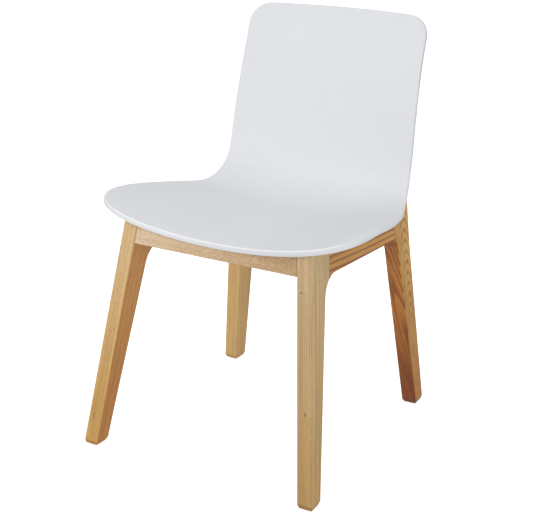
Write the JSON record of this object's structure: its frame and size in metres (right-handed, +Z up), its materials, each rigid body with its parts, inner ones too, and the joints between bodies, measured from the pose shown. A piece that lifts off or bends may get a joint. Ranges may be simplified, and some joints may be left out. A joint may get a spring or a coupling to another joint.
{
  "type": "dining chair",
  "caption": "Dining chair: a one-piece moulded plastic shell seat and back on a splayed solid wood frame with scribed side rails and aprons.",
  "frame": {"origin": "on the floor, under the middle of the chair's bounding box", "axes": "+Z up, -Y the way the sitter faces, +X the sitter's left; X = 0 is the plane of symmetry"},
  "size_m": [0.5632, 0.5733, 0.7989],
  "materials": {
    "shell_plastic": "fine satin",
    "frame_wood": "oiled",
    "apron_wood": "oiled",
    "block_wood": "raw",
    "dowel_wood": "raw",
    "screw_steel": "zinc plated",
    "insert_brass": "turned",
    "cap_plastic": "matte",
    "glide_nylon": "matte"
  },
  "bodies": {
    "root": {"seat_shell": "shell_plastic", "front_leg_left": "frame_wood", "rear_leg_left": "frame_wood", "side_rail_left": "frame_wood", "front_leg_right": "frame_wood", "rear_leg_right": "frame_wood", "side_rail_right": "frame_wood", "front_apron": "apron_wood", "rear_apron": "apron_wood", "corner_block_front_left": "block_wood", "corner_block_front_right": "block_wood", "corner_block_rear_left": "block_wood", "corner_block_rear_right": "block_wood", "side_rail_dowels": "dowel_wood", "apron_dowels": "dowel_wood", "block_screws": "screw_steel", "seat_bolts": "screw_steel", "seat_bolt_washers": "screw_steel", "seat_inserts": "insert_brass", "horn_screws": "screw_steel", "horn_inserts": "insert_brass", "horn_caps": "cap_plastic", "foot_glide_front_left": "glide_nylon", "foot_glide_front_right": "glide_nylon", "foot_glide_rear_left": "glide_nylon", "foot_glide_rear_right": "glide_nylon", "glide_nails": "screw_steel"}
  },
  "joints": []
}
